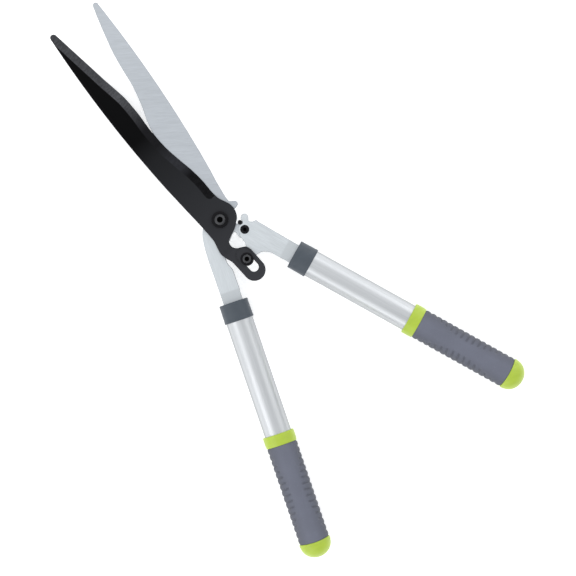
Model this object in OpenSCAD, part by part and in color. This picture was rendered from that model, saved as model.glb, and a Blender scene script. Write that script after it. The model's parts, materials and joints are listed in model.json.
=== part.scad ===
// Hedge shears with wavy blades and lever action, lying open on a flat surface.
// Millimetres, +Z up. The origin is under the middle of the whole tool. Outlines are drawn
// around the main pivot and shifted there at the end.

/* [Blades] */
// Distance from the main pivot to the tip of the bright counter blade
counter_reach = 258.5; // [200:0.5:300]
// Distance from the main pivot to the tip of the black cutting blade
cutting_reach = 257.3; // [200:0.1:300]
// Thickness of both blades and of the lever plate
plate_t = 4; // [3:0.1:4.2]
// Gap between the two blades
blade_gap = 0.5; // [0.3:0.1:1]
// Direction of the counter blade, anticlockwise from +X
counter_dir = 120; // [110:1:130]
// Angle between the two blades when fully open
open_angle = 12; // [8:0.5:13]

/* [Linkage] */
// Lever pivot, to the right of the main pivot
lever_x = 25.5; // [25:0.1:26]
// Lever pivot, above the main pivot
lever_y = -9.9; // [-10.5:0.1:-9.5]
// Slot bolt at rest, to the right of the main pivot
slot_x = 27.8; // [27:0.1:28.5]
// Slot bolt at rest, above the main pivot
slot_y = -40.4; // [-41:0.1:-39.5]
// How far the lever swings to close the blades, in degrees
lever_swing = 26; // [20:1:27]
// Turn of the cutting blade for each degree of the lever
swing_ratio = 0.49; // [0.48:0.01:0.5]
// Diameter of the bush that slides in the slot
slot_bush_d = 9; // [8:0.1:9.4]
// Clearance between the bush and each side of the slot
slot_clearance = 0.35; // [0.3:0.05:0.5]
// Distance from the slot bolt at rest to the centre of the slot's outer end
slot_outer = 10.9; // [9:0.1:12]

/* [Handles] */
// Start of the left ferrule on its axis, to the right of the main pivot
left_x = 13.6; // [12:0.1:15]
// Start of the left ferrule on its axis, above the main pivot
left_y = -84.6; // [-88:0.1:-82]
// Direction of the left handle
left_dir = -71.2; // [-73:0.1:-69]
// Start of the right ferrule on its axis, to the right of the main pivot
right_x = 76.4; // [74:0.1:79]
// Start of the right ferrule on its axis, above the main pivot
right_y = -35.2; // [-37:0.1:-34]
// Direction of the right handle
right_dir = -29.1; // [-31:0.1:-27]
// Outer diameter of the aluminium tubes
tube_d = 28.3; // [27:0.1:28.6]
// Wall of the tubes
tube_wall = 1.2; // [1:0.1:1.6]
// Bare tube between ferrule and grip, left
left_bare = 123; // [90:1:160]
// Bare tube between ferrule and grip, right
right_bare = 115; // [90:1:160]
// Outer diameter of the ferrules
ferrule_d = 31.2; // [30.4:0.1:31.8]
// Length of the ferrules
ferrule_len = 20; // [16:0.5:26]
// Diameter of the lime rings, which the tool rests on
ring_d = 33.5; // [33:0.1:36]
// Length of the lime rings
ring_len = 12; // [8:0.5:16]
// Diameter of the grip sleeve over its ribs
grip_d = 32.2; // [31.8:0.1:33]
// Length of the grip sleeve
grip_len = 104; // [80:1:130]
// Number of ribs along the sleeve
grip_ribs = 16; // [10:1:20]
// Length of the domed end cap outside the sleeve
cap_len = 18; // [14:0.5:22]

/* [Fasteners] */
// Diameter of the main pivot bolt
pivot_d = 8; // [7:0.5:9]
// Diameter of the main pivot bolt's head
pivot_head_d = 16.8; // [15:0.1:17]
// Diameter of the lever screw
lever_screw_d = 5; // [4.5:0.5:5.5]
// Diameter of the lever screw's head
lever_head_d = 9.4; // [9:0.1:10]
// Diameter of the slot bolt
slot_bolt_d = 6; // [5:0.5:6]
// Diameter of the slot bolt's head
slot_head_d = 13.4; // [12:0.1:14]
// Diameter of the rubber stop
bumper_d = 4.8; // [4:0.1:5]

/* [Hidden] */
$fn = 96;

// Colours
bright = "#ccd2d8";
black_coat = "#26262a";
black_oxide = "#141416";
alu = "#c6cacf";
slate = "#555c66";
grip_grey = "#71757f";
lime = "#b0cf42";
zinc = "#b9bcc0";
nylon = "#e4e2da";
rubber = "#1b1b1d";

// Heights
axis_z = ring_d / 2;
tang_drop = 0.4;     // from the handle's axis down to the counter blade's upper face
counter_z = axis_z - plate_t - tang_drop;
lever_z = counter_z + plate_t + blade_gap;
tail_z = lever_z + plate_t + blade_gap;
joggle_from = -26.5; // the cutting blade's tail steps up between these two stations
joggle_to = -32.5;
washer_t = 1;
film = 0.1;          // play between faces that slide on each other
fit = 0.05;          // radial play of running fits
stop_gap = 0.4;      // room around the rubber stop
cut = 1;             // how far a cut runs past the face it starts from

// Places
lever_pivot = [lever_x, lever_y];
slot_pin = [slot_x, slot_y];
cutting_dir = counter_dir + open_angle;
bumper_r = 8.9;
bumper_dir = 124;
bumper_at = lever_pivot + bumper_r * [cos(bumper_dir), sin(bumper_dir)];

// The slot follows the bolt's way across the cutting blade while the tool closes
function turned(p, a) = [p.x * cos(a) - p.y * sin(a), p.x * sin(a) + p.y * cos(a)];
pin_closed = lever_pivot + turned(slot_pin - lever_pivot, -lever_swing);
pin_closed_on_blade = turned(pin_closed, lever_swing * swing_ratio);
slot_path = pin_closed_on_blade - slot_pin;
slot_travel = norm(slot_path);
slot_dir = atan2(slot_path.y, slot_path.x);
slot_wide = slot_bush_d + 2 * slot_clearance;
slot_narrow = slot_bolt_d + 2 * slot_clearance;
pocket_h = 2.4;
pocket_room = 0.3;
slot_bush_h = blade_gap + pocket_h - pocket_room;

// Handle stations along each axis, from the ferrule's start
ferrule_wall = 4;
tang_half = 10.2;
tang_tip_half = 8;
tang_tip_at = 45;
tang_overlap = 6;
insert_len = 48;
tang_pin_d = 4;
tang_pin_at = 12;
core_d = 29.8;

// Fastener proportions
pivot_bush_d = pivot_d + 4;
pivot_head_h = 4.2;
pivot_socket = 5;
pivot_nut_af = 13;
pivot_nut_h = 4.5;
pivot_washer_d = 17;
spacer_d = 24;
lever_bush_d = lever_screw_d + 2;
lever_head_h = 2.8;
lever_socket = 3;
lever_nut_af = 8;
lever_nut_h = 4;
lever_washer_d = 10;
slot_head_h = 3.4;
slot_socket = 4;
slot_nut_af = 10;
slot_nut_h = 5;
slot_washer_d = 12;
slot_cover = 5.4;
bumper_pin_d = 2.5;
thread_end = 1;      // thread beyond each nut
chamfer = 0.5;

// Smooth curve through points, with n steps between neighbours. An open curve leaves out its
// last point, where the next run begins.
function spline(a, b, c, d, t) = 0.5 * (2 * b + (c - a) * t + (2 * a - 5 * b + 4 * c - d) * t * t
    + (3 * b - a - 3 * c + d) * t * t * t);
function smooth(p, n = 5) = let (last = len(p) - 1)
    [for (i = [0:last - 1]) for (k = [0:n - 1])
        spline(p[max(i - 1, 0)], p[i], p[i + 1], p[min(i + 2, last)], k / n)];

// Wavy edges are given for a blade of normal length and stretched beyond the root's end
root_end = 25;
normal_cutting = 257;
normal_counter = 258;
function stretched(p, normal, reach) = let (k = (reach - root_end) / (normal - root_end))
    [for (q = p) [q.x > root_end ? root_end + (q.x - root_end) * k : q.x, q.y]];

function on_circle(at, r, a) = at + r * [cos(a), sin(a)];
function arc(at, r, ends, n = 24) = [for (i = [0:n])
    on_circle(at, r, ends[0] + (ends[1] - ends[0]) * i / n)];
function backwards(p) = [for (i = [len(p) - 1:-1:0]) p[i]];

// Both spines run straight out to the bend and then fall in a shallow parabola to the tip
spine_bend = 60;
spine_fall = 15;
function spine(high, reach, last, n = 16) = [for (i = [0:n])
    let (u = spine_bend + (last - spine_bend) * i / n)
    [u, high - spine_fall * pow((u - spine_bend) / (reach - spine_bend), 2)]];

// Cutting blade: along its length from the pivot, and across it, spine positive
cutting_spine_h = 20;
cutting_tip_r = 3.5;
cutting_tip_mid = [cutting_reach - cutting_tip_r, 2];
cutting_tip_arc = [-85, 81];
cutting_lug = [[30, 19.5], [10, 19], [-5, 19], [-13, 19.5], [-20, 21.5], [-27, 23], [-34, 22],
    [-40, 20], [-48, 19.5]];
tail_r = 11.5;
tail_at = [-62, 8];
cutting_notch = [[-44, -3.5], [-39, -2], [-36, 2], [-33, 7], [-28, 9.5], [-23, 8], [-20.5, 4],
    [-18.5, -1], [-16, -6.5]];
boss_r = 17.8;
boss_at = [1.5, -1];
boss_arc = [227, 292];
cutting_edge = [[13, -15.5], [19, -13.5], [28, -13], [43, -13.5], [58, -12.5], [72, -10.5],
    [88, -8.5], [100, -8], [117, -8.5], [127, -9.5], [137, -10.5], [148, -11], [160, -11],
    [174, -9.5], [186, -8], [202, -6.5]];

// Counter blade: the same, with its cutting edge on the positive side and a horn at its root
counter_spine_h = 17;
counter_tip_r = 3;
counter_tip_mid = [counter_reach - counter_tip_r, 0.5];
counter_tip_arc = [-81, 80];
counter_horn = [[1.5, -16.5], [2.5, -19], [3.5, -22], [5, -24], [7.5, -24.5], [9.5, -23],
    [10.5, -20.5], [12, -18], [15, -17], [22, -16.5], [36, -16.5], [50, -17]];
counter_edge = [[238, 6], [220, 8], [203, 9.5], [183, 9.5], [168, 9], [158, 9.5], [148, 10.5],
    [137, 12], [127, 14], [117, 15], [104, 15], [92, 13], [78, 12], [64, 12.5], [50, 14.5],
    [36, 15.5], [20, 15.5], [8, 14.5]];
counter_boss_r = 16.4;
counter_boss_arc = [-13.5, 30];
lobe_r = 9.6;
lobe_arc = [200, 501];

// Tang of the counter blade, from the pivot down to the ferrule and back up to the lobe
left_at = [left_x, left_y];
tang_left = [[-16.5, -0.5], [-16.5, -4], [-17.5, -8.5], [-18, -17], [-15.5, -30], [-11, -45],
    [-6, -59], [-1.5, -72]];
tang_right = [[20, -70], [16, -59], [13, -51], [9.5, -47], [6.5, -42], [6, -34], [7.5, -27],
    [11, -19], [13, -14.5], [14.5, -12.5]];

// Lever plate, drawn around its own pivot
right_at = [right_x, right_y];
lever_head_r = bumper_r - bumper_d / 2 - stop_gap;
tab_r = 3.75;
tab_at = [-0.25, 12.5];
lever_shoulder = [[3.5, 10.5], [4, 9], [5.5, 8], [8, 8], [10, 9], [11.5, 9.5], [13, 9]];
lever_outer = [[27.5, -24], [23, -23], [18.5, -23], [14, -25], [9.5, -28]];
lever_inner = [[1, -26], [1, -17], [0.5, -14.5], [-1, -12], [-3, -9.5], [-5, -6.5], [-5, -3]];
drive_lobe_r = 6.9;
bumper_room = bumper_d / 2 + stop_gap;

// Outline of the tang inside a ferrule, in the handle's frame
function tang(at, dir) = [for (p = [[-tang_overlap, 1, 0], [0, 1, 0], [ferrule_wall, 1, 0],
    [ferrule_wall, 0, 1], [tang_tip_at, 0, 1], [tang_tip_at, 0, -1], [ferrule_wall, 0, -1],
    [ferrule_wall, -1, 0], [0, -1, 0], [-tang_overlap, -1, 0]])
    at + turned([p[0], p[1] * tang_half + p[2] * tang_tip_half], dir)];

// Whole tool's outline, for its middle
left_most = turned(cutting_tip_mid, cutting_dir).x - cutting_tip_r;
highest = turned(counter_tip_mid, counter_dir).y + counter_tip_r;
left_len = ferrule_len + left_bare + ring_len + grip_len;
right_len = ferrule_len + right_bare + ring_len + grip_len;
cap_r = 16.3;
cap_collar_len = 3;
dome_len = cap_len - cap_collar_len;
function dome_out(along) = sqrt(pow(dome_len * along, 2) + cap_r * cap_r * (1 - along * along));
right_most = right_x + (right_len + cap_collar_len) * cos(right_dir) + dome_out(cos(right_dir));
lowest = left_y + (left_len + cap_collar_len) * sin(left_dir) - dome_out(sin(left_dir));
centre = [left_most + right_most, highest + lowest] / 2;

// ---- helpers ----

module placed(z = 0) { translate([-centre.x, -centre.y, z]) children(); }

module at(p, z) { placed() translate([p.x, p.y, z]) children(); }

module along_left() {
    placed(axis_z) translate([left_x, left_y, 0]) rotate([0, 0, left_dir]) children();
}

module along_right() {
    placed(axis_z) translate([right_x, right_y, 0]) rotate([0, 0, right_dir]) children();
}

// Turned shape along +X: points are [station, radius]
module lathe(points) { rotate([90, 0, 90]) rotate_extrude() polygon([for (p = points) [p.y, p.x]]); }

module ring(d, bore, h) {
    difference() {
        cylinder(d = d, h = h);
        translate([0, 0, -cut]) cylinder(d = bore, h = h + 2 * cut);
    }
}

// Slot from a to b along +X
module slot_cut(a, b, width, z, h) {
    for (x = [a, b]) translate([x, 0, z]) cylinder(d = width, h = h);
    translate([a, -width / 2, z]) cube([b - a, width, h]);
}

// Button head bolt: head sits on z = 0, shank hangs down
module button_bolt(d, head_d, head_h, len, socket) {
    flange_h = 0.25 * head_h;
    flat_r = 0.75 * socket;
    crown_r = head_d / 2 - flat_r - chamfer;
    crown = [for (a = [0:15:90]) [flat_r + crown_r * cos(a),
        flange_h + (head_h - flange_h) * sin(a)]];
    difference() {
        rotate_extrude() polygon(concat([[0, -len], [d / 2 - chamfer, -len],
            [d / 2, -len + chamfer], [d / 2, 0], [head_d / 2, 0], [head_d / 2, flange_h]],
            crown, [[0, head_h]]));
        translate([0, 0, head_h / 3]) cylinder(d = socket / cos(30), h = head_h, $fn = 6);
    }
}

module hex_nut(af, bore, h) {
    difference() {
        intersection() {
            cylinder(d = af / cos(30), h = h, $fn = 6);
            rotate_extrude() polygon([[0, 0], [af / 2, 0], [af / 2 + 2 * chamfer, chamfer],
                [af / 2 + 2 * chamfer, h - chamfer], [af / 2, h], [0, h]]);
        }
        translate([0, 0, -cut]) cylinder(d = bore, h = h + 2 * cut);
    }
}

// ---- plates ----

module plate(points) { linear_extrude(plate_t) polygon(points); }

module disc(at, r) { translate(at) cylinder(r = r, h = plate_t); }

function counter_outline() =
    let (tip = arc(counter_tip_mid, counter_tip_r, counter_tip_arc, 12),
        edge = stretched(counter_edge, normal_counter, counter_reach))
    concat(smooth(counter_horn), [for (q = spine(counter_spine_h, counter_reach,
        counter_tip_mid.x)) [q.x, -q.y]], tip, smooth(concat([tip[12]], edge)));

module counter_blade() color(bright) difference() {
    blade = counter_outline();
    lobe_start = on_circle(lever_pivot, lobe_r, lobe_arc[0]);
    placed(counter_z) plate(concat([for (p = blade) turned(p, counter_dir)], smooth(tang_left),
        backwards(tang(left_at, left_dir)), smooth(concat(tang_right, [lobe_start])),
        arc(lever_pivot, lobe_r, lobe_arc), arc([0, 0], counter_boss_r, counter_boss_arc, 10)));
    at([0, 0], counter_z - cut) cylinder(d = pivot_d + fit, h = plate_t + 2 * cut);
    at(lever_pivot, counter_z - cut) cylinder(d = lever_screw_d + fit, h = plate_t + 2 * cut);
    at(bumper_at, counter_z - cut) cylinder(d = bumper_pin_d, h = plate_t + 2 * cut);
    along_left() tang_pin_hole();
}

module cutting_outline() {
    tip = arc(cutting_tip_mid, cutting_tip_r, cutting_tip_arc, 12);
    boss = arc(boss_at, boss_r, boss_arc, 12);
    edge = stretched(cutting_edge, normal_cutting, cutting_reach);
    polygon(concat(backwards(spine(cutting_spine_h, cutting_reach, cutting_tip_mid.x)),
        smooth(cutting_lug), arc(tail_at, tail_r, [90, 270]),
        smooth(concat(cutting_notch, [boss[0]])), boss,
        smooth(concat(edge, [tip[0]])), tip));
}

// Side view of the cutting blade: its tail steps up over the lever
module joggle_profile() {
    far = cutting_reach + cut;
    tail = -90;
    step = tail_z - lever_z;
    polygon([[far, 0], [far, plate_t], [joggle_from, plate_t], [joggle_to, plate_t + step],
        [tail, plate_t + step], [tail, step], [joggle_to, step], [joggle_from, 0]]);
}

module cutting_blade() color(black_coat) difference() {
    half = 40;
    placed(lever_z) rotate(cutting_dir) intersection() {
        linear_extrude(3 * plate_t) cutting_outline();
        rotate([90, 0, 0]) translate([0, 0, -half]) linear_extrude(2 * half) joggle_profile();
    }
    at([0, 0], lever_z - cut) cylinder(d = pivot_bush_d, h = plate_t + 2 * cut);
    at(slot_pin, tail_z) rotate(slot_dir) {
        slot_cut(-slot_outer, 0, slot_wide, -cut, plate_t + 2 * cut);
        slot_cut(0, slot_travel, slot_wide, -cut, pocket_h + cut);
        slot_cut(0, slot_travel, slot_narrow, -cut, plate_t + 2 * cut);
    }
}

module lever_plate() color(bright) difference() {
    placed(lever_z) {
        disc(lever_pivot, lever_head_r);
        translate(lever_pivot) plate(concat([[-4, 2]],
            arc(tab_at, tab_r, [180, 0], 12), smooth(lever_shoulder), [[13, 8.5]],
            tang(right_at - lever_pivot, right_dir), smooth(lever_outer), smooth(lever_inner)));
        disc(slot_pin, drive_lobe_r);
    }
    at(bumper_at, lever_z - cut) cylinder(r = bumper_room, h = plate_t + 2 * cut);
    at(lever_pivot, lever_z - cut) cylinder(d = lever_bush_d, h = plate_t + 2 * cut);
    at(slot_pin, lever_z - cut) cylinder(d = slot_bolt_d + fit, h = plate_t + 2 * cut);
    along_right() tang_pin_hole();
}

// ---- handles, drawn along +X from the ferrule's start, axis at z = 0 ----

module tang_pin_hole() {
    translate([tang_pin_at, 0, -tube_d]) cylinder(d = tang_pin_d, h = 2 * tube_d);
}

module tang_room(z, half, from, to) {
    translate([from, -half, z]) cube([to - from, 2 * half, plate_t]);
}

module ferrule(z) {
    r = ferrule_d / 2;
    inner = tube_d / 2;
    round_r = 1.5;
    corner = [for (a = [0:15:90]) [round_r * (1 - sin(a)), r - round_r * (1 - cos(a))]];
    difference() {
        lathe(concat([[0, 0]], [for (i = [len(corner) - 1:-1:0]) corner[i]],
            [for (c = corner) [ferrule_len - c.x, c.y]],
            [[ferrule_len, inner], [ferrule_wall, inner], [ferrule_wall, 0]]));
        tang_room(z, tang_half, -cut, ferrule_wall + cut);
    }
}

module tube_insert(z) {
    difference() {
        translate([ferrule_wall, 0, 0]) rotate([0, 90, 0])
            cylinder(r = tube_d / 2 - tube_wall, h = insert_len);
        tang_room(z, tang_tip_half, ferrule_wall - cut, tang_tip_at);
        tang_pin_hole();
    }
}

module tang_pin() {
    len = tube_d - 2 * film;
    translate([tang_pin_at, 0, -len / 2]) cylinder(d = tang_pin_d, h = len);
}

module tube(bare) {
    len = ferrule_len + bare + ring_len + grip_len - ferrule_wall;
    difference() {
        translate([ferrule_wall, 0, 0]) rotate([0, 90, 0]) difference() {
            cylinder(d = tube_d, h = len);
            translate([0, 0, -cut]) cylinder(r = tube_d / 2 - tube_wall, h = len + 2 * cut);
        }
        tang_pin_hole();
    }
}

module grip_core(bare) {
    start = ferrule_len + bare;
    end = start + ring_len + grip_len;
    r = ring_d / 2;
    bore = tube_d / 2;
    round_r = 1.2;
    bevel = 0.35 * round_r;
    taper_len = 4;
    taper = 0.5;
    lathe([[start, bore], [start, r - round_r], [start + bevel, r - bevel],
        [start + round_r, r], [start + ring_len - taper_len, r], [start + ring_len, r - taper],
        [start + ring_len, core_d / 2], [end, core_d / 2], [end, bore]]);
}

module grip_sleeve(bare) {
    start = ferrule_len + bare + ring_len;
    steps = 6 * grip_ribs;
    depth = 0.7;
    outer = [for (i = [0:steps]) [start + grip_len * i / steps,
        grip_d / 2 - depth * pow(cos(180 * grip_ribs * i / steps), 8)]];
    lathe(concat(outer, [[start + grip_len, core_d / 2], [start, core_d / 2]]));
}

module end_cap(bare) {
    start = ferrule_len + bare + ring_len + grip_len;
    plug_len = 20;
    plug_r = tube_d / 2 - tube_wall;
    lip = 0.4;
    dome = [for (a = [0:7.5:90]) [start + cap_collar_len + dome_len * sin(a), cap_r * cos(a)]];
    lathe(concat([[start - plug_len, 0], [start - plug_len, plug_r - chamfer],
        [start - plug_len + chamfer, plug_r], [start, plug_r], [start, cap_r - lip],
        [start + chamfer, cap_r + lip], [start + cap_collar_len - chamfer, cap_r + lip]], dome));
}

module left_ferrule() color(slate) along_left() ferrule(counter_z - axis_z);
module left_tube_insert() color(nylon) along_left() tube_insert(counter_z - axis_z);
module left_tang_pin() color(zinc) along_left() tang_pin();
module left_tube() color(alu) along_left() tube(left_bare);
module left_grip_core() color(lime) along_left() grip_core(left_bare);
module left_grip_sleeve() color(grip_grey) along_left() grip_sleeve(left_bare);
module left_end_cap() color(lime) along_left() end_cap(left_bare);

module right_ferrule() color(slate) along_right() ferrule(lever_z - axis_z);
module right_tube_insert() color(nylon) along_right() tube_insert(lever_z - axis_z);
module right_tang_pin() color(zinc) along_right() tang_pin();
module right_tube() color(alu) along_right() tube(right_bare);
module right_grip_core() color(lime) along_right() grip_core(right_bare);
module right_grip_sleeve() color(grip_grey) along_right() grip_sleeve(right_bare);
module right_end_cap() color(lime) along_right() end_cap(right_bare);

// ---- fasteners ----

pivot_head_z = lever_z + plate_t + film + washer_t;
lever_head_z = lever_z + plate_t + film;
slot_head_z = tail_z + plate_t + film + washer_t;
under_nut_z = counter_z - washer_t;
slot_nut_z = lever_z - washer_t;

module pivot_bolt() color(black_oxide)
    at([0, 0], pivot_head_z) button_bolt(pivot_d, pivot_head_d, pivot_head_h,
        pivot_head_z - under_nut_z + pivot_nut_h + thread_end, pivot_socket);
module pivot_washer() color(black_oxide)
    at([0, 0], pivot_head_z - washer_t) ring(pivot_head_d + chamfer, pivot_d, washer_t);
module blade_spacer() color(zinc)
    at([0, 0], counter_z + plate_t) ring(spacer_d, pivot_d, blade_gap - film);
module pivot_nut_washer() color(zinc)
    at([0, 0], under_nut_z) ring(pivot_washer_d, pivot_d, washer_t);
module pivot_locknut() color(zinc)
    at([0, 0], under_nut_z - pivot_nut_h) hex_nut(pivot_nut_af, pivot_d, pivot_nut_h);

module lever_screw() color(black_oxide)
    at(lever_pivot, lever_head_z) button_bolt(lever_screw_d, lever_head_d, lever_head_h,
        lever_head_z - under_nut_z + lever_nut_h + thread_end, lever_socket);
module lever_nut_washer() color(zinc)
    at(lever_pivot, under_nut_z) ring(lever_washer_d, lever_screw_d, washer_t);
module lever_locknut() color(zinc)
    at(lever_pivot, under_nut_z - lever_nut_h) hex_nut(lever_nut_af, lever_screw_d, lever_nut_h);

module bumper_pin() color(zinc)
    at(bumper_at, counter_z) cylinder(d = bumper_pin_d, h = 2 * plate_t + blade_gap - stop_gap);
module stop_bumper() color(rubber)
    at(bumper_at, counter_z + plate_t) ring(bumper_d, bumper_pin_d, blade_gap + plate_t - stop_gap);

module pivot_bush() color(zinc)
    at([0, 0], lever_z) ring(pivot_bush_d, pivot_d + 2 * fit, plate_t);
module lever_bush() color(zinc)
    at(lever_pivot, lever_z) ring(lever_bush_d, lever_screw_d + 2 * fit, plate_t);

module slot_bolt() color(black_oxide)
    at(slot_pin, slot_head_z) button_bolt(slot_bolt_d, slot_head_d, slot_head_h,
        slot_head_z - slot_nut_z + slot_nut_h + thread_end, slot_socket);
// Long washer: it travels with the bolt and covers the slot's narrow end
module slot_washer() color(black_oxide)
    at(slot_pin, slot_head_z - washer_t) rotate(slot_dir) difference() {
        slot_cut(0, slot_cover, slot_head_d + 2 * chamfer, 0, washer_t);
        translate([0, 0, -cut]) cylinder(d = slot_bolt_d, h = washer_t + 2 * cut);
    }
module slot_bush() color(nylon)
    at(slot_pin, lever_z + plate_t) ring(slot_bush_d, slot_bolt_d, slot_bush_h);
module slot_nut_washer() color(zinc)
    at(slot_pin, slot_nut_z) ring(slot_washer_d, slot_bolt_d, washer_t);
module slot_locknut() color(zinc)
    at(slot_pin, slot_nut_z - slot_nut_h) hex_nut(slot_nut_af, slot_bolt_d, slot_nut_h);

counter_blade();
left_ferrule();
left_tube_insert();
left_tang_pin();
left_tube();
left_grip_core();
left_grip_sleeve();
left_end_cap();
pivot_bolt();
pivot_washer();
blade_spacer();
pivot_nut_washer();
pivot_locknut();
lever_screw();
lever_nut_washer();
lever_locknut();
bumper_pin();
stop_bumper();
cutting_blade();
pivot_bush();
lever_plate();
lever_bush();
right_ferrule();
right_tube_insert();
right_tang_pin();
right_tube();
right_grip_core();
right_grip_sleeve();
right_end_cap();
slot_bolt();
slot_washer();
slot_bush();
slot_nut_washer();
slot_locknut();
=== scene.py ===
import json
import math

import bmesh
import bpy
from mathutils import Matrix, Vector


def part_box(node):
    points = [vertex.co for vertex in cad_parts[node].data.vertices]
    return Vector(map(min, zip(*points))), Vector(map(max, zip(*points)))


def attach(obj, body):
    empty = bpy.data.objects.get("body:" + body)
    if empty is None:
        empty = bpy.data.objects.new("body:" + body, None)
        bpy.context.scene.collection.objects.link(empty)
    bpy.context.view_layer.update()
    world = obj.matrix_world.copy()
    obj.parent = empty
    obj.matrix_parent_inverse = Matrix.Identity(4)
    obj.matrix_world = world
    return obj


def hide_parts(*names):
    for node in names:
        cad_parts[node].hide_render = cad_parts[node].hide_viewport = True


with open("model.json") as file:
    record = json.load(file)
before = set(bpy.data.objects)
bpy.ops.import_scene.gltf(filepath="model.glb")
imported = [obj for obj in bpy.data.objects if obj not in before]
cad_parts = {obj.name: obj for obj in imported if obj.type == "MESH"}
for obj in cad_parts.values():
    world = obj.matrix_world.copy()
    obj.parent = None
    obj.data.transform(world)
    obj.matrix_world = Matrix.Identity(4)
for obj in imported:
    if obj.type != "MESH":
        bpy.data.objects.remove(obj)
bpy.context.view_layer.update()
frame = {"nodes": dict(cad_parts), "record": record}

# Shapes are drawn in millimetres, in the CAD frame, and scaled to metres at the end
MM = 0.001
record = frame["record"]
joints = {j["name"]: j for j in record["behaviour"]["joints"]}
mounts = {m["name"]: m for m in record["mounts"]}


def mm(point):
    return Vector(point) / MM


def box(node):
    """Lowest and highest corner of a CAD node at rest, in mm."""
    return [mm(corner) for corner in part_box(node)]


def level(point):
    """The point at height 0."""
    return Vector((point.x, point.y, 0))


def directed(degrees):
    """Level unit vector in that direction."""
    return Vector((math.cos(math.radians(degrees)), math.sin(math.radians(degrees)), 0))


PIVOT = mm(joints["blade_swing"]["pos_m"])
LEVER_PIVOT = mm(joints["lever_swing"]["pos_m"])
SLOT_PIN = sum(box("slot_bush"), Vector()) / 2
BUMPER = sum(box("stop_bumper"), Vector()) / 2
UP = Vector((0, 0, 1))
EAST = Vector((1, 0, 0))

# Directions of the blades and of the slot, in degrees
COUNTER_DIR = 120
CUTTING_DIR = 132
SLOT_DIR = 131.8

# Plates. The black blade's tail steps up between two distances behind the pivot
PLATE_T = 4
EDGE = 0.5
STEP_FROM, STEP_TO = 25.5, 33.5

# Pocket under the black blade's slot, and the long washer over it
SLOT_TRAVEL = 8.25
SLOT_WIDE = 9.7
POCKET_H = 2.4
SLOT_COVER = 5.4
SLOT_WASHER_W = 14.4

# Handles, from the ferrule out. The grip and the cap meet in a wave that is CAP_BULGE high
FERRULE_LEN = 20
TUBE_R = 14.15
RING_LEN = 12
CORE_R = 14.9
GRIP_LEN = 104
GRIP_R = 16.1
GROOVE_DEPTH = 0.9
CAP_BULGE = 1.3
CAP_LEN = 18

# Undersides of the plates; the black blade is level with the lever up to its raised tail
counter_z = box("counter_blade")[0].z
lever_z = box("lever_plate")[0].z
tail_z = box("cutting_blade")[1].z - PLATE_T


# ---------------------------------------------------------------- materials

class Nodes:
    """A material's node tree, with short calls for the nodes used here."""

    def __init__(self, name):
        self.material = bpy.data.materials.new(name)
        self.material.use_nodes = True
        self.tree = self.material.node_tree
        self.shader = self.tree.nodes["Principled BSDF"]

    def node(self, kind, **inputs):
        made = self.tree.nodes.new(kind)
        for key, value in inputs.items():
            self.put(made.inputs[key.replace("_", " ")], value)
        return made

    def put(self, socket, value):
        if isinstance(value, bpy.types.NodeSocket):
            self.tree.links.new(value, socket)
        else:
            socket.default_value = value

    def place(self, scale=(1, 1, 1), turn=0.0):
        """Object coordinates in metres, turned about Z and stretched."""
        here = self.tree.nodes.new("ShaderNodeTexCoord").outputs["Object"]
        spun = self.node("ShaderNodeMapping", Vector=here, Rotation=(0, 0, -math.radians(turn)))
        return self.node("ShaderNodeMapping", Vector=spun.outputs[0], Scale=scale).outputs[0]

    def noise(self, where, scale, detail=3.0, rough=0.55):
        return self.node("ShaderNodeTexNoise", Vector=where, Scale=scale, Detail=detail,
                         Roughness=rough).outputs["Fac"]

    def ramp(self, fac, low, high, out_low=0.0, out_high=1.0):
        made = self.node("ShaderNodeMapRange", Value=fac)
        for name, value in (("From Min", low), ("From Max", high), ("To Min", out_low),
                            ("To Max", out_high)):
            made.inputs[name].default_value = value
        return made.outputs[0]

    def math(self, operation, a, b):
        made = self.tree.nodes.new("ShaderNodeMath")
        made.operation = operation
        self.put(made.inputs[0], a)
        self.put(made.inputs[1], b)
        return made.outputs[0]

    def blend(self, fac, a, b):
        made = self.tree.nodes.new("ShaderNodeMix")
        made.data_type = "RGBA"
        self.put(made.inputs["Factor"], fac)
        for socket, value in ((made.inputs[6], a), (made.inputs[7], b)):
            self.put(socket, (*value, 1.0) if isinstance(value, tuple) else value)
        return made.outputs[2]

    def bump(self, height, strength, distance):
        made = self.node("ShaderNodeBump", Height=height, Strength=strength, Distance=distance)
        self.put(self.shader.inputs["Normal"], made.outputs[0])

    def set(self, **values):
        for key, value in values.items():
            if isinstance(value, tuple) and len(value) == 3:
                value = (*value, 1.0)
            self.put(self.shader.inputs[key.replace("_", " ")], value)


def handle_start(mount):
    """Where a handle's ferrule begins on its axis, in mm, and the axis."""
    axis = Vector(mounts[mount]["axis"]).normalized()
    bare = mounts[mount]["dims"]["length_mm"]
    return mm(mounts[mount]["pos_m"]) - axis * (FERRULE_LEN + bare / 2), axis


def heading(axis):
    """Direction of a level axis, in degrees."""
    return math.degrees(math.atan2(axis.y, axis.x))


def around_axis(m, mount):
    """Squares of the distances beside a handle's axis and above or below it, in m2."""
    start, axis = handle_start(mount)
    spot = m.node("ShaderNodeSeparateXYZ", Vector=m.place(turn=heading(axis)))
    beside = m.math("SUBTRACT", spot.outputs[1], start.dot(UP.cross(axis)) * MM)
    height = m.math("SUBTRACT", spot.outputs[2], start.z * MM)
    return m.math("MULTIPLY", beside, beside), m.math("MULTIPLY", height, height)


def scaled(colour, k):
    return tuple(min(c * k, 1.0) for c in colour)


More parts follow.
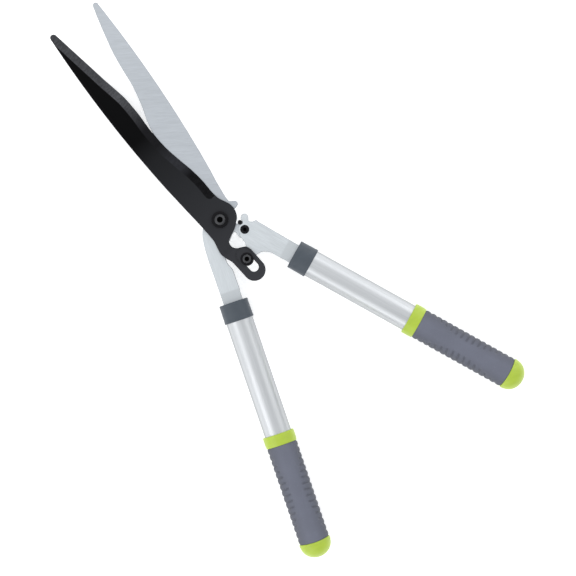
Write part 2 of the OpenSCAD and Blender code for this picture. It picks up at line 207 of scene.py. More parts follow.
def ground_steel(name, colour, turns, split_y=None, rough=0.34, dark_band_mount=None):
    """Ground and brushed plate. Below split_y, in metres, the lines run along the second turn
    and the colour is TANG. Given a handle's mount as its last argument, the colour turns an even
    darker grey in a band up to that handle's ferrule."""
    soft_border = 0.006
    dark_band_from, dark_band_whole = 0.0125, 0.0105
    m = Nodes(name)
    lines = []
    for turn in turns:
        fine = m.noise(m.place((1, 26, 1), turn), 70, 4, 0.7)
        coarse = m.noise(m.place((1, 9, 1), turn), 34, 3, 0.6)
        lines.append(m.math("ADD", m.math("MULTIPLY", fine, 0.65),
                            m.math("MULTIPLY", coarse, 0.35)))
    cloud = m.noise(m.place((1, 2.5, 1), turns[0]), 9, 3, 0.6)
    grind = lines[0]
    if split_y is not None:
        y = m.node("ShaderNodeSeparateXYZ", Vector=m.place()).outputs[1]
        upper = m.ramp(y, split_y - soft_border, split_y + soft_border)
        grind = m.math("ADD", m.math("MULTIPLY", lines[0], upper),
                       m.math("MULTIPLY", lines[1], m.math("SUBTRACT", 1.0, upper)))
    ground = m.ramp(grind, 0.36, 0.64)
    tint = m.blend(0.3, m.blend(ground, scaled(colour, 0.82), scaled(colour, 1.1)),
                   m.blend(m.ramp(cloud, 0.35, 0.65), scaled(colour, 0.93),
                           scaled(colour, 1.03)))
    if split_y is not None:
        tint = m.blend(upper, m.blend(ground, scaled(TANG, 0.9), scaled(TANG, 1.06)), tint)
    # the colour turns an even darker grey in a band up to the handle's ferrule
    if dark_band_mount:
        start, axis = handle_start(dark_band_mount)
        along = m.node("ShaderNodeSeparateXYZ", Vector=m.place(turn=heading(axis))).outputs[0]
        at = start.dot(axis) * MM
        tint = m.blend(m.ramp(along, at - dark_band_from, at - dark_band_whole), tint, scaled(TANG, 0.86))
    m.set(Base_Color=tint, Metallic=1.0,
          Roughness=m.ramp(grind, 0.3, 0.7, rough - 0.05, rough + 0.1))
    m.bump(grind, 0.25, 0.00006)
    return m.material


def coated_black(name, tones, rough=0.4, lines=0.0):
    """Low-friction coating with a fine grain. tones holds pairs of a distance from the pivot, in
    metres, and the colour there; lines is the strength of grinding marks across the edge."""
    mark, scuffed = (0.012, 0.012, 0.014), (0.05, 0.05, 0.055)
    m = Nodes(name)
    where = m.place()
    grain = m.noise(where, 1500, 2)
    cloud = m.noise(where, 26, 4, 0.6)
    scuff = m.noise(m.place((1, 18, 1), CUTTING_DIR + 20), 60, 4, 0.7)
    length = m.node("ShaderNodeSeparateXYZ", Vector=m.place(turn=CUTTING_DIR)).outputs[0]
    start = PIVOT.dot(directed(CUTTING_DIR)) * MM
    tint = tones[0][1]
    for (low, _), (high, colour) in zip(tones, tones[1:]):
        tint = m.blend(m.ramp(length, start + low, start + high), tint, colour)
    if lines:
        marks = m.noise(m.place((1, 0.06, 1), CUTTING_DIR + 8), 700, 3, 0.7)
        tint = m.blend(m.ramp(marks, 0.35, 0.65, 0.0, lines), tint, mark)
    worn = m.blend(m.ramp(scuff, 0.62, 0.8, 0.0, 0.12), tint, scuffed)
    m.set(Base_Color=m.blend(m.ramp(cloud, 0.3, 0.7), worn, tint),
          Roughness=m.ramp(cloud, 0.3, 0.7, rough - 0.04, rough + 0.07), Specular_IOR_Level=0.05)
    m.bump(grain, 0.12, 0.00004)
    return m.material


def anodised(name, colour, mount):
    """Satin anodised tube with drawing lines along it, with painted shade darkening its flanks."""
    clear_of_flank = 0.00007  # height above or below the axis, squared, in m2
    m = Nodes(name)
    turn = heading(handle_start(mount)[1])
    # painted shade: the colour is darker along the tube's flanks, near the height of its axis
    outside_painted_shade = m.ramp(around_axis(m, mount)[1], 0.0, clear_of_flank)
    lines = m.noise(m.place((1, 55, 55), turn), 16, 3, 0.6)
    cloud = m.noise(m.place((0.3, 1, 1), turn), 40, 3, 0.5)
    tone = m.blend(m.ramp(lines, 0.35, 0.65), scaled(colour, 0.95), scaled(colour, 1.03))
    m.set(Base_Color=m.blend(outside_painted_shade, scaled(colour, 0.62), tone),
          Metallic=1.0, Roughness=m.ramp(cloud, 0.3, 0.7, 0.37, 0.45))
    m.bump(lines, 0.12, 0.00003)
    return m.material


def plated(name, colour, metallic=1.0, rough=0.34, gloss=0.5):
    """Zinc plating or black oxide: cloudy tone, slightly uneven gloss and handling marks."""
    m = Nodes(name)
    where = m.place()
    cloud = m.noise(where, 240, 4, 0.6)
    marks = m.noise(m.place((1, 12, 4), 35), 420, 3, 0.7)
    tone = m.blend(m.ramp(cloud, 0.3, 0.7), scaled(colour, 0.82), scaled(colour, 1.12))
    m.set(Base_Color=m.blend(m.ramp(marks, 0.66, 0.8), tone, scaled(colour, 1.35)),
          Metallic=metallic, Roughness=m.ramp(cloud, 0.3, 0.7, rough - 0.06, rough + 0.08),
          Specular_IOR_Level=gloss)
    m.bump(cloud, 0.12, 0.00005)
    return m.material


def moulded(name, colour, rough, grain=1300, depth=0.00005, gloss=0.4):
    """Injection-moulded plastic with a spark-eroded grain and a faint tone from its flow."""
    m = Nodes(name)
    where = m.place()
    pits = m.noise(where, grain, 2, 0.6)
    flow = m.noise(m.place((1, 3, 1), 20), 60, 3, 0.5)
    m.set(Base_Color=m.blend(m.ramp(flow, 0.3, 0.7), scaled(colour, 0.95), scaled(colour, 1.05)),
          Roughness=m.ramp(pits, 0.3, 0.7, rough - 0.05, rough + 0.06), Specular_IOR_Level=gloss)
    m.bump(pits, 0.25, depth)
    return m.material


def soft_rubber(name, colour, rough=0.68, dust=0.35, mount=None):
    """Thermoplastic rubber: fine grain, broad worn patches and a little sheen. On a handle, shade
    is
    painted into its colour: darker in its grooves and along its ribbed flanks than on its smooth
    top and underside."""
    groove_floor, rib_top = (GRIP_R - GROOVE_DEPTH + 0.1) * MM, (GRIP_R - 0.05) * MM
    clear_of_flank = 0.00024  # height above or below the axis, squared, in m2
    m = Nodes(name)
    where = m.place()
    grain = m.noise(where, 1700, 3, 0.65)
    patch = m.noise(where, 34, 4, 0.6)
    speck = m.noise(where, 520, 2, 0.5)
    tone = m.blend(m.ramp(patch, 0.3, 0.7), scaled(colour, 0.93), scaled(colour, 1.06))
    tone = m.blend(m.ramp(speck, 0.62, 0.8, 0.0, dust), tone, scaled(colour, 1.35))
    if mount:
        beside, height = around_axis(m, mount)
        out = m.math("SQRT", m.math("ADD", beside, height), 0.0)
        # painted shade in the grooves: the deeper the surface lies, the darker its colour
        tone = m.blend(m.ramp(out, groove_floor, rib_top), scaled(colour, 0.75), tone)
        # painted shade along the flanks: darker near the height of the axis
        tone = m.blend(m.ramp(height, 0.0, clear_of_flank), scaled(colour, 0.48), tone)
    m.set(Base_Color=tone,
          Roughness=m.ramp(patch, 0.3, 0.7, rough - 0.05, rough + 0.06),
          Specular_IOR_Level=0.3, Sheen_Weight=0.12, Sheen_Roughness=0.5)
    m.bump(grain, 0.35, 0.00008)
    return m.material


STEEL = (0.475, 0.503, 0.537)
TANG = (0.62, 0.655, 0.68)
ALUMINIUM = (0.56, 0.575, 0.59)
LIME = (0.395, 0.528, 0.043)
GRIP = (0.139, 0.148, 0.19)
SLATE = (0.0575, 0.071, 0.088)
looks = {
    "counter": ground_steel("ground_steel_blade", STEEL, (4, -72), split_y=PIVOT.y * MM - 0.01,
                            dark_band_mount="left_tube_clip"),
    "lever": ground_steel("ground_steel_lever", TANG, (-29,), dark_band_mount="right_tube_clip"),
    "counter_bevel": ground_steel("ground_bevel_steel", (0.7, 0.71, 0.73), (30,), rough=0.26),
    # painted shade: the silver plates' cut and rounded edges are painted dark grey
    "painted_shade_edge": ground_steel("painted_shade_edge_steel", (0.17, 0.176, 0.185), (30,), rough=0.42),
    # painted highlight: the black blade's edge faces turn lighter grey between about 28 and 120 mm
    # from the pivot
    "painted_highlight_edge": coated_black("painted_highlight_black_edge", [
        (0.028, (0.03, 0.03, 0.033)), (0.045, (0.16, 0.16, 0.165)), (0.09, (0.14, 0.14, 0.145)),
        (0.12, (0.03, 0.03, 0.033))]),
    "coating": coated_black("black_coating", [
        (-0.06, (0.040, 0.041, 0.046)), (-0.015, (0.030, 0.031, 0.035)),
        (0.02, (0.024, 0.025, 0.028)), (0.09, (0.012, 0.0125, 0.014)),
        (0.116, (0.0015, 0.0015, 0.0018))]),
    # painted highlights: the black ground bevel is lighter around 66 to 78 mm and past 165 mm from
    # the pivot
    "coating_bevel": coated_black("black_ground_bevel", [
        (0.055, (0.003, 0.003, 0.0035)), (0.066, (0.026, 0.027, 0.032)),
        (0.078, (0.026, 0.027, 0.032)), (0.1, (0.007, 0.007, 0.008)),
        (0.12, (0.008, 0.008, 0.0095)), (0.165, (0.09, 0.092, 0.1)),
        (0.19, (0.065, 0.066, 0.072))], rough=0.36, lines=0.55),
    "black_oxide": plated("black_oxide", (0.006, 0.006, 0.0075), metallic=0.0, rough=0.3,
                          gloss=0.1),
    # painted shade: the hexagon sockets are painted darker than the heads
    "socket": plated("painted_shade_socket_black", (0.001, 0.001, 0.0012), metallic=0.0, rough=0.5, gloss=0.02),
    # painted highlight: lighter, glossier black on the dome round the larger bolts' sockets
    "painted_highlight_oxide": plated("painted_highlight_black_oxide", (0.045, 0.046, 0.05), metallic=0.0, rough=0.28,
                         gloss=0.3),
    "zinc": plated("zinc_plate", (0.62, 0.64, 0.66)),
    "slate": moulded("slate_plastic", SLATE, rough=0.5, grain=1100, depth=0.00007),
    "lime": moulded("lime_plastic", LIME, rough=0.36, grain=1500, depth=0.00003, gloss=0.5),
    "left_grip": soft_rubber("left_soft_grip", GRIP, mount="left_tube_clip"),
    "right_grip": soft_rubber("right_soft_grip", GRIP, mount="right_tube_clip"),
    "nylon": moulded("nylon", (0.72, 0.71, 0.67), rough=0.5),
    "rubber": soft_rubber("stop_rubber", (0.012, 0.012, 0.013), rough=0.6, dust=0.6),
}


# ---------------------------------------------------------------- mesh helpers

def piece(name, body, nodes, bm, materials, sharp=32):
    """Makes the mesh an object in metres that rides on body and stands for the CAD nodes."""
    bmesh.ops.remove_doubles(bm, verts=bm.verts, dist=0.0008)
    bmesh.ops.recalc_face_normals(bm, faces=bm.faces)
    mesh = bpy.data.meshes.new(name)
    bm.to_mesh(mesh)
    bm.free()
    mesh.transform(((MM, 0, 0, 0), (0, MM, 0, 0), (0, 0, MM, 0), (0, 0, 0, 1)))
    mesh.shade_smooth()
    mesh.set_sharp_from_angle(angle=math.radians(sharp))
    for material in materials:
        mesh.materials.append(material)
    obj = bpy.data.objects.new(name, mesh)
    bpy.context.scene.collection.objects.link(obj)
    flat = obj.modifiers.new("flat_faces", "WEIGHTED_NORMAL")
    flat.keep_sharp = True
    flat.weight = 100
    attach(obj, body)
    if nodes:
        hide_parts(*nodes)


def eased(profile, radius):
    """Rounds the corners of a profile. One that begins off the axis is a closed loop."""
    steps = 3
    closed = profile[0][1] > 0
    count = len(profile)
    points = []
    for i, (x, r) in enumerate(profile):
        if not closed and i in (0, count - 1):
            points.append((x, r))
            continue
        here = Vector((x, r))
        before = Vector(profile[i - 1]) - here
        after = Vector(profile[(i + 1) % count]) - here
        cut = min(radius, 0.45 * before.length, 0.45 * after.length)
        a, b = here + before.normalized() * cut, here + after.normalized() * cut
        for k in range(steps + 1):
            t = k / steps
            points.append(tuple(a * (1 - t) ** 2 + here * 2 * t * (1 - t) + b * t * t))
    return points


def turned(stations, origin, axis=UP, seg=96):
    """Skin over rings along axis. A station is (distance, radius); each is a number or a
    function of the angle around the axis. Stations that begin off the axis close on themselves."""
    across = EAST if axis == UP else UP.cross(axis).normalized()
    lift = axis.cross(across)
    bm = bmesh.new()
    rings = []
    for x, r in stations:
        ring = []
        for k in range(seg):
            angle = 2 * math.pi * k / seg
            along = x(angle) if callable(x) else x
            out = r(angle) if callable(r) else r
            ring.append(bm.verts.new(origin + axis * along
                                     + (across * math.cos(angle) + lift * math.sin(angle)) * out))
        rings.append(ring)
    first = stations[0][1]
    if callable(first) or first > 0:
        rings.append(rings[0])
    for low, high in zip(rings, rings[1:]):
        for k in range(seg):
            n = (k + 1) % seg
            bm.faces.new((low[k], low[n], high[n], high[k]))
    return bm


def merge(bm, other):
    """Adds another bmesh to bm and frees it."""
    mesh = bpy.data.meshes.new("part")
    other.to_mesh(mesh)
    other.free()
    bm.from_mesh(mesh)
    bpy.data.meshes.remove(mesh)


def outlines(node):
    """Closed outlines of a CAD plate seen from above, in mm. The one with the most points, its
    outer edge, comes first."""
    mesh = frame["nodes"][node].data
    keys, names = {}, []
    for v in mesh.vertices:
        spot = round(v.co.x / MM, 3), round(v.co.y / MM, 3)
        names.append(keys.setdefault(spot, len(keys)))
    spots = list(keys)
    edges = set()
    for poly in mesh.polygons:
        if poly.normal.z < 0.3:  # only faces that look up
            continue
        ring = [names[i] for i in poly.vertices]
        for a, b in zip(ring, ring[1:] + ring[:1]):
            if a == b:
                continue
            if (b, a) in edges:
                edges.remove((b, a))
            else:
                edges.add((a, b))
    after = dict(sorted(edges))
    loops = []
    while after:
        start = min(after)
        loop, here = [], start
        while here in after:
            loop.append(spots[here])
            here = after.pop(here)
        if len(loop) > 5:
            loops.append(loop)
    return sorted(loops, key=len, reverse=True)


def mesh_of(obj):
    """The object's evaluated mesh as a bmesh; the object is removed."""
    bpy.context.view_layer.update()
    made = bpy.data.meshes.new_from_object(
        obj.evaluated_get(bpy.context.evaluated_depsgraph_get()))
    bm = bmesh.new()
    bm.from_mesh(made)
    data = obj.data
    bpy.data.objects.remove(obj)
    if isinstance(data, bpy.types.Curve):
        bpy.data.curves.remove(data)
    else:
        bpy.data.meshes.remove(data)
    bpy.data.meshes.remove(made)
    return bm


def plate(loops, z):
    """Flat plate over outlines from z up, with its edges rounded."""
    curve = bpy.data.curves.new("plate", "CURVE")
    curve.dimensions = "2D"
    curve.fill_mode = "BOTH"
    for loop in loops:
        spline = curve.splines.new("POLY")
        spline.points.add(len(loop) - 1)
        for point, (x, y) in zip(spline.points, loop):
            point.co = (x, y, 0, 1)
        spline.use_cyclic_u = True
    curve.extrude = PLATE_T / 2 - EDGE
    curve.bevel_depth = EDGE
    curve.bevel_resolution = 2
    curve.offset = -EDGE
    obj = bpy.data.objects.new("plate", curve)
    bpy.context.scene.collection.objects.link(obj)
    bm = mesh_of(obj)
    bmesh.ops.remove_doubles(bm, verts=bm.verts, dist=0.001)
    bmesh.ops.translate(bm, verts=bm.verts, vec=(0, 0, z + PLATE_T / 2))
    bmesh.ops.recalc_face_normals(bm, faces=bm.faces)
    return bm


def cut(bm, cutter):
    """Takes cutter away from bm."""
    pair = []
    for part in (bm, cutter):
        bmesh.ops.recalc_face_normals(part, faces=part.faces)
        mesh = bpy.data.meshes.new("part")
        part.to_mesh(mesh)
        part.free()
        obj = bpy.data.objects.new("part", mesh)
        bpy.context.scene.collection.objects.link(obj)
        pair.append(obj)
    boolean = pair[0].modifiers.new("cut", "BOOLEAN")
    boolean.operation = "DIFFERENCE"
    boolean.solver = "EXACT"
    boolean.object = pair[1]
    result = mesh_of(pair[0])
    data = pair[1].data
    bpy.data.objects.remove(pair[1])
    bpy.data.meshes.remove(data)
    return result


def tube_of(rings):
    """Closed skin over rings of equal length, capped at both ends."""
    bm = bmesh.new()
    rows = [[bm.verts.new(p) for p in ring] for ring in rings]
    for a, b in zip(rows, rows[1:]):
        for k in range(len(a)):
            n = (k + 1) % len(a)
            bm.faces.new((a[k], a[n], b[n], b[k]))
    bm.faces.new(rows[0])
    bm.faces.new(rows[-1])
    return bm


# ---------------------------------------------------------------- blades and lever

def bevel_cutter(outline, direction, side, face_z, into):
    """Wedge that grinds the cutting edge. side is +1 or -1, the edge's side of the blade's line;
    face_z is the ground face's height, and into (+1 or -1) points from it into the plate."""
    width, depth = 8.3, 3.1
    root, run_out = 19, 7  # it begins this far from the pivot, and sinks in over run_out
    inside = 0.6  # how far over the blade's line the edge may reach
    spare = 2  # the wedge stands out past the plate
    steepest = 0.4  # it runs on past the round tip instead of turning round it
    ahead = directed(direction)
    left = UP.cross(ahead)
    edge = []
    for x, y in outline:
        p = Vector((x - PIVOT.x, y - PIVOT.y, 0))
        u, v = p.dot(ahead), p.dot(left) * side
        if u > root and v > -inside:
            edge.append((u, v))
    edge.sort()
    while abs(edge[-1][1] - edge[-2][1]) > steepest * (edge[-1][0] - edge[-2][0]):
        edge.pop()
    last = edge[-1]
    edge += [(last[0] + 3, last[1] + 0.2), (last[0] + 9, last[1] + 0.6)]
    rings = []
    for i, (u, v) in enumerate(edge):
        a, b = edge[max(i - 2, 0)], edge[min(i + 2, len(edge) - 1)]
        slope = (b[1] - a[1]) / (b[0] - a[0])
        fade = max(0.0, 1 - (u - root) / run_out) ** 2
        inner = (u + slope * width, v - width)
        outer = (u - slope * spare, v + spare)
        low = depth * (1 + spare / width)
        ring = []
        for (pu, pv), drop in ((inner, 0), (outer, low), (outer, -spare), (inner, -spare)):
            z = face_z + into * (drop - fade * (depth + 1))
            ring.append(level(PIVOT) + ahead * pu + left * side * pv + UP * z)
        rings.append(ring)
    return tube_of(rings)


def mark_bevel(bm, z_low, z_high):
    """Gives the second material to the sloping ground faces, which aren't slivers."""
    bm.normal_update()
    for face in bm.faces:
        sloping = 0.80 < abs(face.normal.z) < 0.965
        wide = face.calc_area() > 0.8
        if sloping and wide and z_low < face.calc_center_median().z < z_high:
            face.material_index = 1


def mark_edge(bm, index):
    """Gives the cut and rounded edges of a plate their own material; on the silver plates its dark
    colour is painted shade, on the black blade its lighter band is a painted highlight.
    """
    bm.normal_update()
    for face in bm.faces:
        if abs(face.normal.z) < 0.9 and face.material_index == 0:
            face.material_index = index


def counter_blade():
    loops = outlines("counter_blade")
    bm = cut(plate(loops, counter_z),
             bevel_cutter(loops[0], COUNTER_DIR, 1, counter_z, 1))
    mark_bevel(bm, counter_z, counter_z + PLATE_T)
    mark_edge(bm, 2)
    piece("counter_blade_detail", "counter", ["counter_blade"], bm,
          [looks["counter"], looks["counter_bevel"], looks["painted_shade_edge"]])


def stadium_ring(a, b, width, z):
    """Slot-shaped outline from a to b at height z."""
    way = (b - a).normalized()
    start = math.atan2(way.y, way.x)
    ring = []
    for centre, begin in ((b, start - math.pi / 2), (a, start + math.pi / 2)):
        for k in range(25):
            t = begin + math.pi * k / 24
            p = centre + Vector((math.cos(t), math.sin(t), 0)) * width / 2
            ring.append(Vector((p.x, p.y, z)))
    return ring


def cutting_blade():
    loops = outlines("cutting_blade")
    top = lever_z + PLATE_T
    bm = cut(plate(loops, lever_z), bevel_cutter(loops[0], CUTTING_DIR, -1, top, -1))
    mark_bevel(bm, lever_z, top)
    mark_edge(bm, 2)
    ahead = directed(CUTTING_DIR)
    base = level(PIVOT)
    steps = 8
    for k in range(steps + 1):
        u = -STEP_FROM - (STEP_TO - STEP_FROM) * k / steps
        bmesh.ops.bisect_plane(bm, geom=bm.verts[:] + bm.edges[:] + bm.faces[:],
                               plane_co=base + ahead * u, plane_no=ahead, dist=0.0001)
    for v in bm.verts:
        t = (-(v.co - base).dot(ahead) - STEP_FROM) / (STEP_TO - STEP_FROM)
        t = min(max(t, 0.0), 1.0)
        v.co.z += (tail_z - lever_z) * t * t * (3 - 2 * t)
    travel = directed(SLOT_DIR) * SLOT_TRAVEL
    pin = level(SLOT_PIN)
    bm = cut(bm, tube_of([stadium_ring(pin, pin + travel, SLOT_WIDE, z)
                          for z in (tail_z - 1, tail_z + POCKET_H)]))
    piece("cutting_blade_detail", "cutting", ["cutting_blade"], bm,
          [looks["coating"], looks["coating_bevel"], looks["painted_highlight_edge"]])


def lever_plate():
    bm = plate(outlines("lever_plate"), lever_z)
    mark_edge(bm, 1)
    rim = eased([(0.5, 3.6), (PLATE_T + 0.12, 3.6), (PLATE_T + 0.12, 6.2), (0.5, 6.3)], 0.1)
    merge(bm, turned(rim, level(LEVER_PIVOT) + UP * lever_z))
    piece("lever_plate_detail", "lever", ["lever_plate"], bm,
          [looks["lever"], looks["painted_shade_edge"]])


counter_blade()
cutting_blade()
lever_plate()


# ---------------------------------------------------------------- handles

def handle(side, body):
    mount = side + "_tube_clip"
    origin, axis = handle_start(mount)
    bare = mounts[mount]["dims"]["length_mm"]

    def make(part, profile, look, seg=128, sharp=32):
        node = side + "_" + part
        piece(node + "_detail", body, [node], turned(profile, origin, axis, seg), [look],
              sharp)

    ferrule = eased([(0, 0), (0, 14.7), (0.6, 15.3), (2.4, 15.32), (2.8, 15.15),
                     (17.2, 15.4), (17.6, 15.56), (FERRULE_LEN - 0.5, 15.58), (FERRULE_LEN, 15.2),
                     (FERRULE_LEN, TUBE_R), (FERRULE_LEN - 1, TUBE_R - 0.4),
                     (FERRULE_LEN - 1, 0)], 0.35)
    make("ferrule", ferrule, looks["slate"], 96)

    ring_at = FERRULE_LEN + bare
    grip_at = ring_at + RING_LEN
    cap_at = grip_at + GRIP_LEN
    tube_from, tube_to, tube_inner = 4.5, cap_at - 1, 13
    tube = eased([(tube_from, tube_inner), (tube_from, TUBE_R), (tube_to, TUBE_R),
                  (tube_to, tube_inner)], 0.2)
    make("tube", tube, anodised(side + "_anodised_tube", ALUMINIUM, mount))

    core = eased([(ring_at, TUBE_R), (ring_at, 16.0), (ring_at + 0.5, 16.6), (grip_at - 4, 16.7),
                  (grip_at - 0.5, 16.3), (grip_at, GRIP_R), (grip_at, CORE_R), (cap_at, CORE_R),
                  (cap_at, TUBE_R)], 0.5)
    make("grip_core", core, looks["lime"])

    grip_sleeve(side, body, origin, axis, grip_at)

    def collar(extra):
        return lambda a: cap_at + extra + CAP_BULGE * math.sin(a) ** 2

    plug_len, plug_r = 19, 12.8
    dome_at = cap_at + 3
    dome_r, dome_len = 16.25, CAP_LEN - 3.05
    cap = [(cap_at - plug_len, 0), (cap_at - plug_len, plug_r - 0.2), (cap_at - 2, plug_r),
           (collar(0.1), plug_r), (collar(0.1), 15.7), (collar(0.3), 16.2), (collar(0.8), 16.45),
           (dome_at, 16.6), (dome_at + 1.2, 16.3)]
    for k in range(1, 25):
        t = math.radians(90 * k / 24)
        cap.append((dome_at + dome_len * math.sin(t), dome_r * math.cos(t)))
    cap[-1] = (dome_at + dome_len, 0)
    make("end_cap", cap, looks["lime"], sharp=40)


def grip_sleeve(side, body, origin, axis, start):
    """Soft sleeve: cross grooves in a lens-shaped field on each flank, a smooth band on top
    and below, and a scalloped outline."""
    ribs = 16
    rows = ribs * 12
    narrowest, widest, fade = math.radians(18), math.radians(70), math.radians(12)

    def reach(t):
        return narrowest + (widest - narrowest) * math.sin(math.pi * t) ** 0.9

    def flank(angle):
        return math.asin(min(1.0, abs(math.sin(angle))))

    def ring_x(t):
        return lambda a: (start + GRIP_LEN * t
                          + CAP_BULGE * math.sin(a) ** 2 * max(0.0, t - 0.9) / 0.1)

    def ring_r(t):
        def radius(a):
            f = flank(a)
            field = min(1.0, max(0.0, (reach(t) - f) / fade))
            field = field * field * (3 - 2 * field)
            lean = 1.6 * (f / widest) ** 2 / GRIP_LEN
            wave = abs(math.cos(math.pi * ribs * (t + lean))) ** 5
            end = min(t, 1 - t) * GRIP_LEN
            lip = 0.45 * max(0.0, 1 - end / 0.6) ** 2
            return GRIP_R - GROOVE_DEPTH * wave * field - lip
        return radius

    outer = [(ring_x(i / rows), ring_r(i / rows)) for i in range(rows + 1)]
    ends = [(start + GRIP_LEN - 1, CORE_R), (start, CORE_R)]
    bm = turned(outer + ends, origin, axis, 144)
    piece(side + "_grip_sleeve_detail", body, [side + "_grip_sleeve"], bm,
          [looks[side + "_grip"]], 50)


handle("left", "counter")
handle("right", "lever")


# ---------------------------------------------------------------- fasteners

def hexagon(flats):
    """Radius of a hexagon of that width across its flats, as a function of the angle."""
    def radius(angle):
        off = math.degrees(angle) % 60 - 30
        return flats / 2 / math.cos(math.radians(off))
    return radius


def thread(r, z0, z1, pitch):
    """Stations of a threaded shank from z0 up to z1."""
    count = max(2, round((z1 - z0) / pitch * 8))

    def ring(z):
        return lambda a: r - 0.3 * pitch * abs(2 * ((z / pitch - a / (2 * math.pi)) % 1) - 1)
    return [(z0 + (z1 - z0) * k / count, ring(z0 + (z1 - z0) * k / count))
            for k in range(count + 1)]


def bolt(node, body, at, d, head_r, inner_r, head_h, socket, pitch):
    """Flanged button head with a hexagon socket; the end below its nut is threaded."""
    rim_h = 1.15
    low, high = box(node)
    head_z = high.z - head_h
    deep = high.z - 0.62 * head_h
    r = d / 2
    shank_end = low.z + 2.2
    stations = [(low.z, 0), (low.z, r * 0.62), (low.z + 0.35, r * 0.86)]
    stations += thread(r - 0.02, low.z + 0.5, shank_end, pitch)
    stations += [(shank_end + 0.1, r - 0.02), (head_z, r - 0.02), (head_z, head_r - 0.25),
                 (head_z + 0.15, head_r), (head_z + 0.5, head_r), (head_z + 0.75, head_r - 0.3),
                 (head_z + 0.95, inner_r + 0.35), (head_z + rim_h, inner_r + 0.02)]
    flat = socket * 0.62
    for k in range(1, 9):
        t = math.radians(90 * k / 8)
        stations.append((head_z + rim_h + (head_h - 0.02 - rim_h) * math.sin(t),
                         flat + (inner_r - flat) * math.cos(t)))
    hexed = hexagon(socket)
    stations += [(high.z - 0.05, lambda a: hexed(a) + 0.12), (high.z - 0.25, hexed),
                 (deep, hexed), (deep - 0.25, 0)]
    centre = level(at)
    bm = turned(stations, centre)
    for face in bm.faces:
        spot = face.calc_center_median() - centre
        out = Vector((spot.x, spot.y)).length
        # painted shade inside the socket
        if spot.z > head_z and out < socket * 0.6:
            face.material_index = 1
        # painted highlight on the dome round the socket, on the larger bolts
        elif d > 5 and spot.z > head_z + 1.2 and out < inner_r:
            face.material_index = 2
    piece(node + "_detail", body, [node], bm,
          [looks["black_oxide"], looks["socket"], looks["painted_highlight_oxide"]], 28)


def washer(node, body, at, inner_d, look):
    low, high = box(node)
    outer = (high.x - low.x) / 2
    profile = eased([(low.z, inner_d / 2), (low.z, outer), (high.z, outer),
                     (high.z, inner_d / 2)], 0.2)
    piece(node + "_detail", body, [node], turned(profile, level(at)), [look])


def slot_washer():
    """Long washer that covers the narrow end of the slot."""
    low, high = box("slot_washer")
    base = level(SLOT_PIN)
    cover = directed(SLOT_DIR) * SLOT_COVER
    rows = []
    for inset, z in ((0.2, low.z), (0, low.z + 0.2), (0, high.z - 0.3), (0.1, high.z - 0.08),
                     (0.35, high.z)):
        rows.append(stadium_ring(base, base + cover, SLOT_WASHER_W - 2 * inset, z))
    piece("slot_washer_detail", "lever", ["slot_washer"], tube_of(rows),
          [looks["coating"]])


def locknut(node, body, at, flats, bore):
    """Hexagon nut with chamfered corners and a collar that holds a nylon ring."""
    low, high = box(node)
    hexed = hexagon(flats)
    collar = low.z + 0.3 * (high.z - low.z)
    r = bore / 2

    def corner(limit):
        return lambda a: min(hexed(a), limit)
    stations = [(low.z, r + 1.0), (low.z, flats / 2 - 1.3), (low.z + 0.3, flats / 2 - 0.75),
                (collar - 0.2, flats / 2 - 0.6), (collar, corner(flats / 2 - 0.2)),
                (collar + 0.25, corner(flats / 2 + 0.25)), (collar + 0.6, corner(flats / 2 + 0.8)),
                (collar + 0.8, hexed), (high.z - 0.7, hexed),
                (high.z - 0.5, corner(flats / 2 + 0.8)), (high.z, corner(flats / 2)),
                (high.z, r), (low.z + 0.8, r), (low.z + 0.8, r + 1.0)]
    place = level(at)
    piece(node + "_detail", body, [node], turned(stations, place),
          [looks["zinc"]], 28)
    ring = eased([(low.z + 0.15, r + 0.05), (low.z + 0.15, r + 0.98), (low.z + 0.8, r + 0.98),
                  (low.z + 0.8, r + 0.05)], 0.15)
    piece(node + "_nylon_ring", body, [], turned(ring, place), [looks["nylon"]])


bolt("pivot_bolt", "counter", PIVOT, d=8, head_r=8.35, inner_r=5.7, head_h=4.2, socket=5,
     pitch=1.25)
bolt("lever_screw", "counter", LEVER_PIVOT, d=5, head_r=4.65, inner_r=3.5, head_h=2.8, socket=3,
     pitch=0.8)
bolt("slot_bolt", "lever", SLOT_PIN, d=6, head_r=6.65, inner_r=4.5, head_h=3.4, socket=4,
     pitch=1.0)
washer("pivot_washer", "counter", PIVOT, 8, looks["black_oxide"])
slot_washer()
washer("pivot_nut_washer", "counter", PIVOT, 8, looks["zinc"])
washer("lever_nut_washer", "counter", LEVER_PIVOT, 5, looks["zinc"])
washer("slot_nut_washer", "lever", SLOT_PIN, 6, looks["zinc"])
locknut("pivot_locknut", "counter", PIVOT, flats=13, bore=8)
locknut("lever_locknut", "counter", LEVER_PIVOT, flats=8, bore=5)
locknut("slot_locknut", "lever", SLOT_PIN, flats=10, bore=6)


def stop():
    low, high = box("stop_bumper")
    profile = eased([(low.z, 1.25), (low.z, 2.4), (high.z, 2.35), (high.z, 1.25)], 0.5)
    piece("stop_bumper_detail", "counter", ["stop_bumper"],
          turned(profile, level(BUMPER)), [looks["rubber"]])


stop()

# CAD pieces that keep their own shape
for look, names in (("nylon", ("left_tube_insert", "right_tube_insert", "slot_bush")),
                    ("black_oxide", ("bumper_pin",)),
                    ("zinc", ("left_tang_pin", "right_tang_pin", "blade_spacer",
                              "pivot_bush", "lever_bush"))):
    for name in names:
        for holder in frame["nodes"][name].material_slots:
            holder.material = looks[look]


# ---------------------------------------------------------------- stage, light and camera

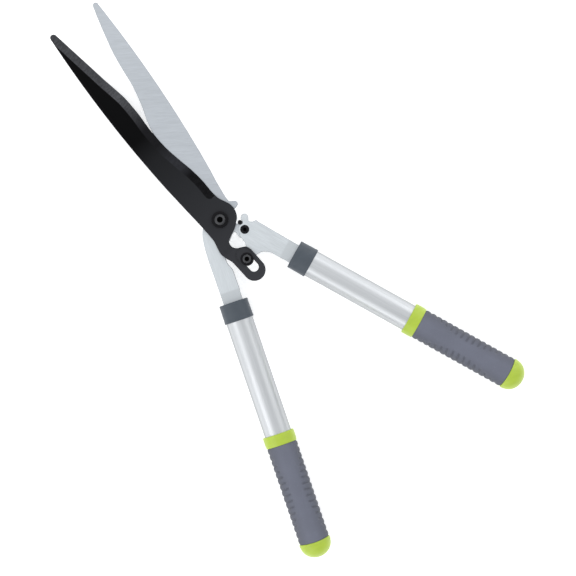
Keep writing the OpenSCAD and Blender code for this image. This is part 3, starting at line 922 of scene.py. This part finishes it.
def floor():
    """Pale floor a hair below the tool, with a little light of its own so that it stays white."""
    m = Nodes("floor")
    cloud = m.ramp(m.noise(m.place(), 3, 2), 0.3, 0.7)
    m.set(Base_Color=m.blend(cloud, (0.94, 0.94, 0.94), (0.96, 0.96, 0.96)),
          Roughness=0.9, Specular_IOR_Level=0.1,
          Emission_Color=(1.0, 1.0, 1.0), Emission_Strength=0.42)
    bpy.ops.mesh.primitive_plane_add(size=8, location=(0, 0, -0.0002))
    obj = bpy.context.active_object
    obj.name = "floor"
    obj.data.materials.append(m.material)


def softbox(name, direction, elevation, distance, size, power):
    """Rectangular light that faces the origin, in degrees, metres and watts."""
    light = bpy.data.lights.new(name, "AREA")
    light.shape = "RECTANGLE"
    light.size, light.size_y = size
    light.energy = power
    obj = bpy.data.objects.new(name, light)
    bpy.context.scene.collection.objects.link(obj)
    tilt = math.radians(elevation)
    toward = directed(direction) * math.cos(tilt) + UP * math.sin(tilt)
    obj.location = toward * distance
    obj.rotation_mode = "QUATERNION"
    obj.rotation_quaternion = toward.to_track_quat("Z", "Y")


def studio():
    world = bpy.data.worlds.new("studio")
    world.use_nodes = True
    background = world.node_tree.nodes["Background"]
    background.inputs["Color"].default_value = (0.97, 0.985, 1.0, 1.0)
    background.inputs["Strength"].default_value = 0.8
    bpy.context.scene.world = world
    long, wide, square = (2.6, 1.0), (1.8, 1.2), (1.8, 1.8)
    softbox("key_softbox", 60, elevation=24, distance=1.8, size=long, power=8.5)
    softbox("fill_softbox", 240, elevation=24, distance=1.8, size=long, power=8.5)
    softbox("side_softbox", 200, elevation=44, distance=2.2, size=wide, power=7)
    softbox("far_softbox", 20, elevation=44, distance=2.2, size=wide, power=3.5)
    softbox("top_softbox", 130, elevation=72, distance=2.6, size=square, power=5)


def camera():
    """Straight above, as in the photograph, with a long lens."""
    half_view = 0.29665  # half the width that it sees at the handles' height, in metres
    from_pivot = Vector((70.03, -70.23, 0))
    handle_height = 17
    data = bpy.data.cameras.new("camera")
    data.lens = 200
    data.sensor_width = 36
    aim = (level(PIVOT) + from_pivot + UP * handle_height) * MM
    obj = bpy.data.objects.new("camera", data)
    obj.location = aim + UP * half_view * data.lens / (data.sensor_width / 2)
    bpy.context.scene.collection.objects.link(obj)
    bpy.context.scene.camera = obj


floor()
studio()
camera()
bpy.context.scene.view_settings.view_transform = "Standard"
